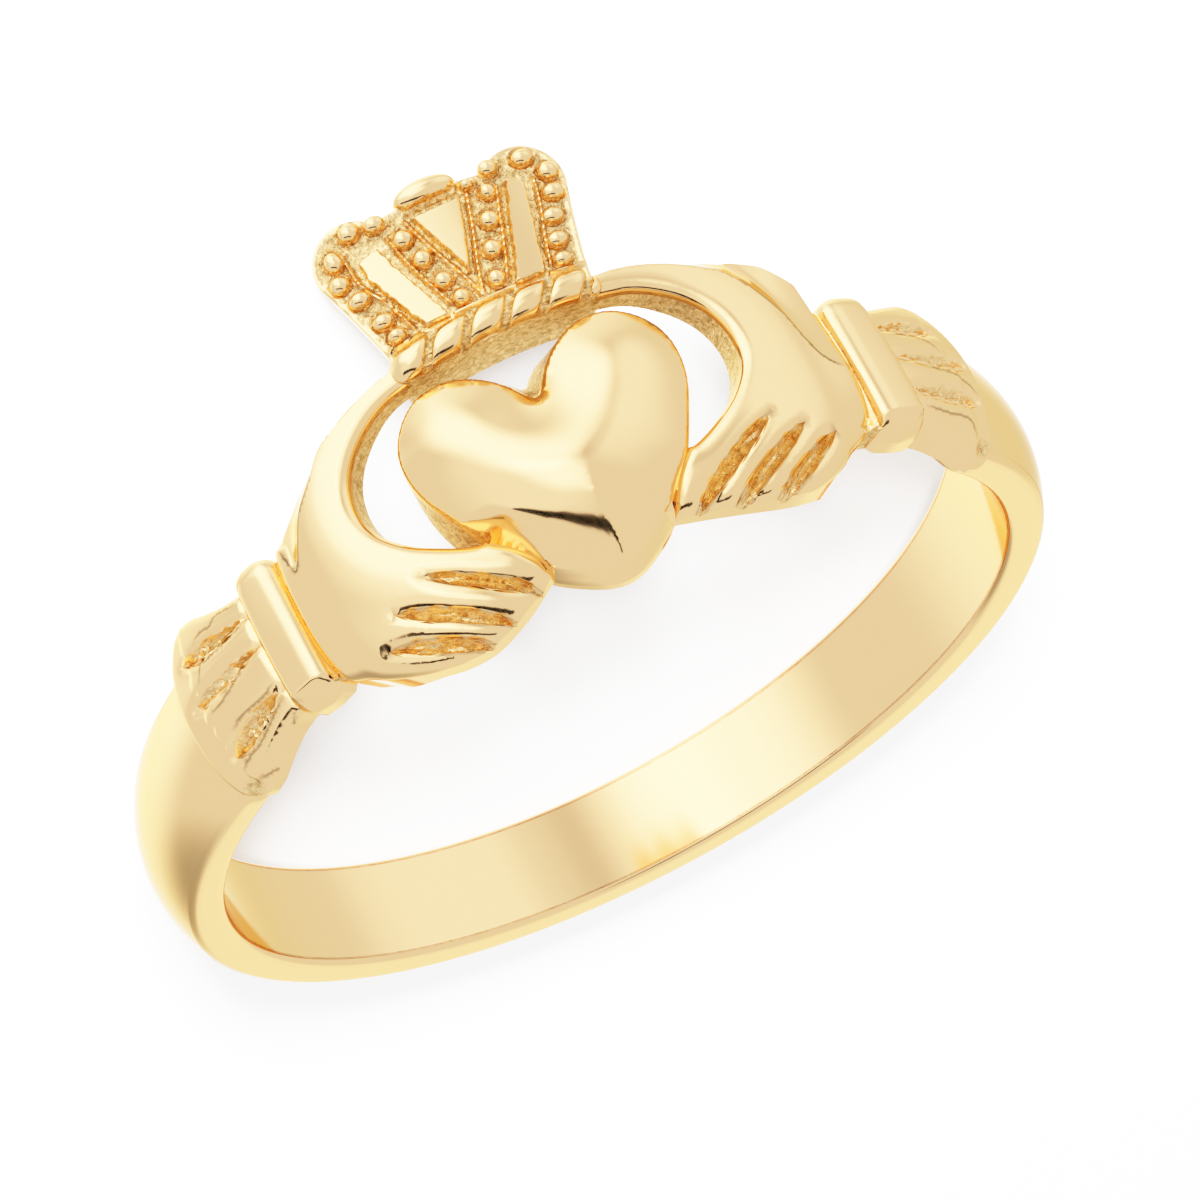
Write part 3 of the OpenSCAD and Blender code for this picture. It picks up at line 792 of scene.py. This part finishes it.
def makeCrown():
    outline = crownOutline()
    panels = [ragged(points, depth, seed) for seed, (points, depth) in enumerate(crown["panels"], 1)]
    p, tri = flatSheet(outline, *crown["mesh"], marks=panels)
    u, v = p.T
    ground = crown["groundR"]
    top = ground + 0.014 * grain(u, v, 0.16, 1) + 0.012 * grain(u, v, 0.09, 2)
    cast = np.full(len(p), 0.85)
    # each bead stands in a pan with a low rim
    away = [np.hypot((u - x) / (w + 0.07), (v - y) / (h + 0.07)) for x, y, w, h in crown["beads"]]
    near = np.min(away, axis=0)
    top += crown["panLift"] * np.exp(-((near - 1.05) / 0.18) ** 2)
    top -= crown["panDepth"] * np.exp(-(near / 0.8) ** 4)
    for ridge in crown["ridges"]:
        gap = distance(smoothCurve(ridge), p, closed=False)
        top = np.maximum(top, ground + crown["ridgeLift"] * np.exp(-(gap / 0.05) ** 2))
        cast = np.minimum(cast, np.clip((gap - 0.02) / 0.04, 0, 0.85))
    # the strip under the cap lies deeper
    strip = np.clip(1 - np.abs(v - 5.59) / 0.09, 0, 1) * np.clip((0.6 - np.abs(u)) / 0.06, 0, 1)
    top -= 0.08 * np.minimum(1, 2 * strip)
    # painted shade: a dark ring round each bead's pan, broken up by noise
    paintedShadeAndSpots = 0.75 * np.exp(-((near - 1.0) / 0.1) ** 2) * np.clip(0.5 + 0.8 * grain(u, v, 0.3, 5), 0, 1)
    for panel in panels:
        gap = distance(panel, p)
        within = inside(panel, p)
        # painted shade: a dark line at the foot of each raised panel
        paintedShadeAndSpots = np.maximum(paintedShadeAndSpots, 0.6 * np.clip(1 - gap / 0.03, 0, 1) * ~within)
        within |= gap < 1e-5
        foot = np.where(gap < 0.1, np.minimum(top, ground + 0.02), top)
        top = np.where(within, ground + crown["panelLift"] - rounding(gap, 0.03), foot)
        cast = np.where(within, 0, cast)
    # the plate ends in a smooth rounded rim
    d = distance(outline, p)
    edge = np.clip((d - 0.02) / 0.14, 0, 1)
    top = top * edge + (ground + 0.07) * (1 - edge) - 0.9 * rounding(d, crown["edgeR"])
    cast = cast * np.clip((d - 0.1) / 0.06, 0, 1)
    # dark spots at random over the rough ground
    paintedShadeAndSpots = np.maximum(paintedShadeAndSpots, 0.35 * np.clip(3 * grain(v, u, 0.22, 8) - 1, 0, 1) * (cast > 0.5))
    relief("crown", (p, tri), top, (cast, held(0)), held(crown["backR"]), paintedShadeAndSpots)


def makeBeads():
    bm = bmesh.new()
    for x, y, w, h in crown["beads"]:
        turn = Matrix.Rotation(x / ring["faceR"], 4, "Y")
        place = turn @ Matrix.Translation((0, y, crown["groundR"] + crown["beadLift"]))
        size = Matrix.Diagonal((crown["beadGrow"] * w, crown["beadGrow"] * h, crown["beadH"], 1))
        bmesh.ops.create_uvsphere(bm, u_segments=24, v_segments=16, radius=1, matrix=place @ size)
    fromBmesh("beads", bm)


def makeCap():
    x, y, w, h, flat = crown["cap"]
    place = Matrix.Translation((x, y, crown["groundR"] - 0.02)) @ Matrix.Diagonal((w, h, crown["capH"], 1))
    bm = bmesh.new()
    bmesh.ops.create_uvsphere(bm, u_segments=64, v_segments=40, radius=1, matrix=place)
    bmesh.ops.bisect_plane(bm, geom=[*bm.verts, *bm.edges, *bm.faces], plane_co=(0, flat, 0),
                           plane_no=(0, -1, 0), clear_outer=True)
    bmesh.ops.holes_fill(bm, edges=[e for e in bm.edges if e.is_boundary], sides=400)
    corner = [e for e in bm.edges if len(e.link_faces) == 2 and e.calc_face_angle(0) > 0.6]
    bmesh.ops.bevel(bm, geom=corner, offset=crown["capEdge"], segments=3, profile=0.5, affect="EDGES",
                    material=-1)
    bmesh.ops.recalc_face_normals(bm, faces=bm.faces)
    fromBmesh("cap", bm)


makeCrown()
makeBeads()
makeCap()


# twisted rail under the crown

rail = {
    "y": 3.02, "sag": 0.1, "half": 0.32, "crestR": 10.42, "edgeR": 10.12, "slant": 0.45, "endU": 2.2,
    "grooves": (-1.33, -0.5, 0.33, 1.12, 1.97), "grooveW": 0.23, "grooveDepth": 0.13, "swell": 0.055,
    # the wall under the rail runs down to here
    "footR": 8.95,
    "mesh": (0.028, (0.012, 0.028, 0.05)),
}


def makeRail():
    end, half, slant = rail["endU"], rail["half"], rail["slant"]
    us = np.linspace(-end, end, 60)
    mid = rail["y"] - rail["sag"] * (us / 2) ** 2
    wide = half * np.sqrt(np.clip(1 - (np.abs(us) / (end + 0.02)) ** 14, 0, 1))
    above, below = np.c_[us, mid + wide], np.c_[us, mid - wide]
    loop = cornered([above[::-1], [above[0], below[0]], below, [below[-1], above[-1]]], 0.035)
    lines = []
    for groove in rail["grooves"]:
        if groove + slant / 2 < end - 0.1:
            y = rail["y"] - rail["sag"] * (groove / 2) ** 2
            lines.append(smoothCurve([(groove - slant / 2, y - 0.26), (groove + slant / 2, y + 0.26)], 0.04))
    p, tri = flatSheet(loop, *rail["mesh"], lines=lines)
    u, v = p.T
    t = np.clip((v - rail["y"] + rail["sag"] * (u / 2) ** 2) / half, -1, 1)
    top = rail["edgeR"] + (rail["crestR"] - rail["edgeR"]) * np.sqrt(np.clip(1 - t * t, 0, 1))
    top -= 0.25 * np.clip((np.abs(u) - 1.75) / 0.45, 0, 1) ** 2
    # grooves slant across it, and the strands between them swell
    cast = np.zeros(len(p))
    for groove in rail["grooves"]:
        gap = np.abs(u - slant / 2 * t - groove) - rail["grooveW"] / 2
        sunk = np.clip(-gap / 0.035, 0, 1)
        top -= rail["grooveDepth"] * sunk * (1 + 0.12 * np.sin(t * 26))
        top -= rail["swell"] * np.where(gap > 0, np.exp(-gap / 0.07), 1 - sunk)
        cast = np.maximum(cast, np.where(gap < -0.015, 1.0, 0.0))
    relief("rail", (p, tri), top, (cast, held(1)), held(rail["footR"]))


makeRail()


# cuffs and sleeves

cuff = {
    # middle and half width of the bars
    "barLeft": (6.63, 0.55), "barRight": (7.12, 0.62), "barTop": 1.55, "barBottom": -1.5,
    "barR": 10.2, "barEdge": 0.36, "backR": 9.2,
    # rough hollow between hand and bar, with a thin fin standing in it
    "grooveR": 9.93, "finR": 10.1, "finLeft": 6.08, "finRight": 6.3,
    "flareR": 10.0, "slitDepth": 0.14, "slitRoll": 0.05, "panelLift": 0.035,
    "barMesh": (0.05, (0.03, 0.07, 0.11)), "wristMesh": (0.045, (0.03,)), "flareMesh": (0.055, (0.03, 0.07)),
    "flareLeft": [
        [(7.1, 1.3), (7.75, 1.42), (8.35, 1.62), (8.75, 1.78), (9.12, 1.84)],
        [(9.12, 1.84), (9.4, 1.66)],
        [(9.4, 1.66), (9.62, 1.1), (9.72, 0.4), (9.74, -0.4), (9.72, -1.2), (9.6, -1.7)],
        [(9.6, -1.7), (9.3, -1.88), (8.82, -1.84)],
        [(8.82, -1.84), (8.15, -1.57), (7.65, -1.42), (7.1, -1.35)],
        [(7.1, -1.35), (7.1, 1.3)],
    ],
    "flareRight": [
        [(7.3, 1.3), (8.0, 1.4), (8.7, 1.52), (9.2, 1.62), (9.42, 1.62)],
        [(9.42, 1.62), (9.7, 1.48)],
        [(9.7, 1.48), (9.92, 1.05), (10.05, 0.4), (10.07, -0.4), (10.02, -1.2), (9.95, -1.7)],
        [(9.95, -1.7), (9.75, -1.95), (9.3, -1.98)],
        [(9.3, -1.98), (8.6, -1.72), (8.0, -1.5), (7.3, -1.35)],
        [(7.3, -1.35), (7.3, 1.3)],
    ],
    # ends and width of each slit
    "slitsLeft": [
        ((7.2, 0.77), (9.2, 1.0), 0.3), ((7.2, 0.12), (9.35, 0.1), 0.3),
        ((7.2, -0.8), (9.1, -1.15), 0.36),
    ],
    "slitsRight": [
        ((7.7, 0.85), (9.5, 0.8), 0.3), ((7.75, 0.1), (9.85, -0.05), 0.3),
        ((7.7, -0.62), (9.75, -0.85), 0.32),
    ],
    # creases round the raised panels
    "linesLeft": [
        [(8.7, 1.22), (8.42, 1.28), (8.15, 1.22), (7.9, 1.3), (7.3, 1.17)],
        [(8.88, 0.42), (8.62, 0.77), (8.5, 0.69), (7.8, 0.72), (7.4, 0.7)],
        [(8.88, -0.13), (8.84, -0.23), (8.3, -0.16), (7.8, 0.02), (7.45, 0.12)],
        [(8.68, -0.76), (8.3, -0.68), (7.7, -0.7), (7.3, -0.63)],
        [(9.1, -1.43), (8.75, -1.33), (8.3, -1.28), (7.3, -0.95)],
        [(9.05, -1.7), (8.55, -1.74), (8.2, -1.68), (7.3, -1.3)],
    ],
    "linesRight": [
        [(8.0, 0.66), (8.6, 0.6), (9.0, 0.45), (9.2, 0.25)],
        [(8.5, -0.15), (9.1, -0.25), (9.6, -0.45), (9.85, -0.7)],
        [(8.0, -1.0), (8.6, -1.15), (9.2, -1.25), (9.35, -1.6)],
    ],
}


def makeBar(name, side):
    mid, half = cuff["bar" + name]
    near, far, high, low = mid - half, mid + half, cuff["barTop"], cuff["barBottom"]
    loop = cornered([
        [(near, 1.05), (near - 0.02, 0), (near, low + 0.12)],
        [(near, low + 0.12), (near + 0.12, low)],
        [(near + 0.12, low), (mid, low - 0.04), (far - 0.12, low)],
        [(far - 0.12, low), (far, low + 0.12)],
        [(far, low + 0.12), (far + 0.02, 0), (far, 1.15)],
        [(far, 1.15), (far - 0.1, 1.42), (far - 0.3, high), (mid + 0.02, high + 0.02), (near + 0.38, high),
         (near + 0.16, 1.45), (near + 0.03, 1.25), (near, 1.05)],
    ], 0.05)
    line = smoothCurve([
        (far - 0.45, high - 0.14), (far - 0.25, 1.27), (far - 0.15, 1.0), (far - 0.13, 0),
        (far - 0.15, low + 0.35), (far - 0.3, low + 0.18),
    ])
    p, tri = flatSheet(loop, *cuff["barMesh"], lines=[line])
    u, v = p.T
    top = cuff["barR"] - 0.9 * rounding(distance(loop, p), cuff["barEdge"]) - 0.05 * (v / 1.5) ** 2
    # a low rim runs along the outer edge, and a steep facet closes the lower end
    top -= 0.04 * eased((u - far + 0.17) / 0.05) + 0.9 * np.maximum(0, low + 0.3 - v)
    # painted shade along the crease at the foot of the outer rim
    paintedShadeAndSpots = 0.6 * creaseShade(p, [line])
    cast = np.zeros(len(p))
    relief("bar" + name, sided(p, tri, side), top, (cast, held(0)), held(cuff["backR"]), paintedShadeAndSpots)


def makeWrist(name, side):
    mid, half = cuff["bar" + name]
    near, far, fin = hand["end" + name] - 0.3, mid - half + 0.1, cuff["fin" + name]
    corners = [(near, 1.25), (near, -1.4), (far, -1.38), (far, 1.2)]
    loop = cornered([[a, b] for a, b in zip(corners, corners[1:] + corners[:1])], 0.05)
    line = np.array([(fin, y) for y in np.linspace(1.15, -1.3, 50)])
    p, tri = flatSheet(loop, *cuff["wristMesh"], lines=[line])
    u, v = p.T
    gap = np.abs(u - fin)
    bow = 0.12 * (v / 1.4) ** 2
    top = cuff["grooveR"] + 0.02 * grain(u, v, 0.2, 4) - bow
    top = np.maximum(top, cuff["finR"] - bow - 2.2 * np.maximum(0, gap - 0.015))
    leaf = np.clip(1.2 - 1.5 * ((v - 0.1) / 0.75) ** 2, 0, 1)
    cast = np.clip((gap - 0.05) / 0.03, 0, 1) * leaf
    relief("wrist" + name, sided(p, tri, side), top, (cast, held(1)), held(cuff["backR"]))


def makeFlare(name, side):
    outline = cornered(cuff["flare" + name], 0.06)
    slits = [spindle(a, b, width, 1.5) for a, b, width in cuff["slits" + name]]
    lines = [smoothCurve(line) for line in cuff["lines" + name]]
    p, tri = flatSheet(outline, *cuff["flareMesh"], marks=slits, lines=lines)
    u, v = p.T
    start, end = outline[:, 0].min(), outline[:, 0].max()
    share = (u - start) / (end - start)
    d = distance(outline, p)
    top = cuff["flareR"] + 0.12 * share - 0.42 * (v / 1.85) ** 2 - rounding(d, 0.1)
    # raised panels with ragged ends stand between the slits, and the lower edge falls away
    panelEnd = end - 0.62 + 0.07 * grain(v, u, 0.45, 6)
    panel = np.clip((panelEnd - u) / 0.05, 0, 1) * np.clip((d - 0.1) / 0.05, 0, 1)
    top += cuff["panelLift"] * eased(panel) - 0.5 * np.maximum(0, -1.33 - 0.35 * share - v)
    cast = np.zeros(len(p))
    for loop in slits:
        top, cast = carve(top, cast, p, loop, cuff["slitDepth"], cuff["slitRoll"])
    # a rough notch near the lower corner
    notch = np.hypot((u - end + 0.45) / 0.2, (v + 1.72) / 0.1)
    top -= 0.08 * np.exp(-notch ** 2)
    cast = 0.75 * np.maximum(cast, np.clip(1.6 - notch, 0, 1))
    # painted shade along the creases round the raised panels
    paintedShadeAndSpots = 0.8 * creaseShade(p, lines)
    relief("flare" + name, sided(p, tri, side), top, (cast, held(0)), held(cuff["backR"]), paintedShadeAndSpots)


for name, side in sides:
    makeBar(name, side)
    makeWrist(name, side)
    makeFlare(name, side)


# floor, light and film

studio = {
    "sky": 1.75, "floor": (0.93, 0.93, 0.93, 1), "paperR": 0.6,
    # soft panels of the tent: turn and height in degrees, where they start to fade and end, gain
    "panels": [
        (20, -30, 8, 42, 3.6),
        (150, -70, 15, 60, 2.6),
        (10, 12, 5, 27, 2.4),
        (-52, -15, 10, 40, 1.0),
        (42, 20, 10, 40, 0.7),
        (-170, -10, 5, 30, 1.2),
        (144, -3, 6, 30, -1.05),
        (80, -60, 5, 28, -1.5),
        (-23, -8, 3, 15, -0.5),
    ],
    # a dark strip across the tent: turn and height
    "strip": [(72, 34), (66, 42), (60, 50), (50, 58), (38, 66), (15, 74), (-40, 80)],
    "stripInner": 6.5, "stripOuter": 9.5,
    # turn, height and distance of the key lamp
    "key": (4, 28, 0.14), "keySize": 0.03, "keyPower": 1.9, "fill": 6.0,
    # how the film turns light into brightness: share of the brightest light, share of white
    "whiteAt": 6.0,
    "film": [(0.05, 0.259), (0.1, 0.451), (0.2, 0.699), (0.32, 0.853), (0.48, 0.944), (0.7, 0.985)],
}


# direction at a turn from the front towards +X and a height over the floor
def heading(turn, height):
    turn, height = math.radians(turn), math.radians(height)
    return Vector((math.sin(turn) * math.cos(height), -math.cos(turn) * math.cos(height), math.sin(height)))


def makeTent():
    world = bpy.data.worlds.new("tent")
    world.use_nodes = True
    tree = world.node_tree
    place = tree.nodes.new("ShaderNodeTexCoord")

    # a round patch of the sky that fades from one value to another
    def patch(turn, height, inner, outer, start, end):
        near = tree.nodes.new("ShaderNodeVectorMath")
        near.operation = "DOT_PRODUCT"
        tree.links.new(place.outputs["Generated"], near.inputs[0])
        near.inputs[1].default_value = heading(turn, height)
        fade = tree.nodes.new("ShaderNodeMapRange")
        fade.interpolation_type = "SMOOTHSTEP"
        fade.inputs["From Min"].default_value = math.cos(math.radians(outer))
        fade.inputs["From Max"].default_value = math.cos(math.radians(inner))
        fade.inputs["To Min"].default_value = start
        fade.inputs["To Max"].default_value = end
        tree.links.new(near.outputs["Value"], fade.inputs["Value"])
        return fade.outputs["Result"]

    def joined(operation, a, b):
        made = tree.nodes.new("ShaderNodeMath")
        made.operation = operation
        tree.links.new(a, made.inputs[0])
        if isinstance(b, float):
            made.inputs[1].default_value = b
        else:
            tree.links.new(b, made.inputs[1])
        return made.outputs["Value"]

    light = studio["sky"]
    for turn, height, inner, outer, gain in studio["panels"]:
        light = joined("ADD", patch(turn, height, inner, outer, 0.0, gain), light)
    for turn, height in studio["strip"]:
        dark = patch(turn, height, studio["stripInner"], studio["stripOuter"], 1.0, 0.02)
        light = joined("MULTIPLY", light, dark)
    sky = tree.nodes["Background"]
    sky.inputs["Color"].default_value = (1, 1, 1, 1)
    tree.links.new(light, sky.inputs["Strength"])
    bpy.context.scene.world = world
    print("tent made")


def makeFloor():
    bm = bmesh.new()
    bmesh.ops.create_grid(bm, x_segments=8, y_segments=8, size=studio["paperR"])
    mesh = bpy.data.meshes.new("floor")
    bm.to_mesh(mesh)
    bm.free()
    paper = bpy.data.materials.new("paper")
    paper.use_nodes = True
    shader = paper.node_tree.nodes["Principled BSDF"]
    shader.inputs["Base Color"].default_value = studio["floor"]
    shader.inputs["Roughness"].default_value = 0.9
    mesh.materials.append(paper)
    floor = bpy.data.objects.new("floor", mesh)
    floor.visible_glossy = False
    bpy.context.scene.collection.objects.link(floor)
    print("floor laid")


def makeLamps():
    turn, height, away = studio["key"]
    key = bpy.data.objects.new("key", bpy.data.lights.new("key", "AREA"))
    key.data.energy = studio["keyPower"]
    key.data.size = studio["keySize"]
    key.location = away * heading(turn, height)
    key.rotation_euler = (Vector((0, 0, 0.004)) - key.location).to_track_quat("-Z", "Y").to_euler()
    # the fill comes from the camera
    fill = bpy.data.objects.new("fill", bpy.data.lights.new("fill", "SUN"))
    fill.data.energy = studio["fill"]
    fill.data.angle = 0.1
    fill.matrix_world = bpy.context.scene.camera.matrix_world
    for lamp in (key, fill):
        lamp.visible_glossy = False
        bpy.context.scene.collection.objects.link(lamp)
    print("lamps lit")


def setFilm():
    look = bpy.context.scene.view_settings
    look.view_transform = "Standard"
    look.use_curve_mapping = True
    look.curve_mapping.white_level = [studio["whiteAt"]] * 3
    for share, white in studio["film"]:
        look.curve_mapping.curves[3].points.new(share, white)
    look.curve_mapping.update()
    print("film set")


makeTent()
makeFloor()
makeLamps()
setFilm()
